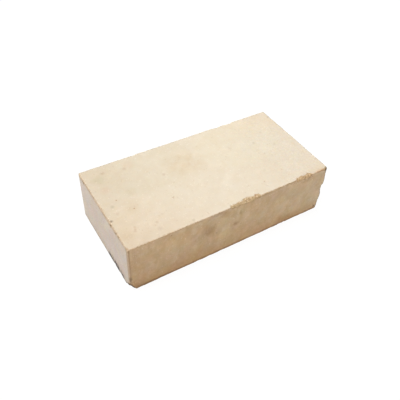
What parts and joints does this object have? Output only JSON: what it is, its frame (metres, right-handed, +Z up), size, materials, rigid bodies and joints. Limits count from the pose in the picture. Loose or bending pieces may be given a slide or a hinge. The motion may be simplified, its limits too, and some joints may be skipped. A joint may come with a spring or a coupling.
{
  "type": "firebrick",
  "caption": "Solid rectangular block of pale fired clay with square faces, worn and chipped edges and one broken bottom corner.",
  "frame": {"origin": "centre of the bottom bed face", "axes": "+X along the length, +Y across the width away from the front stretcher face, +Z up through the two bed faces"},
  "size_m": [0.25, 0.124, 0.065],
  "materials": {
    "fired_clay": "matt, dry-pressed and fired, fine-grained with small dark specks"
  },
  "bodies": {
    "root": {"brick_body": "fired_clay"}
  },
  "joints": []
}
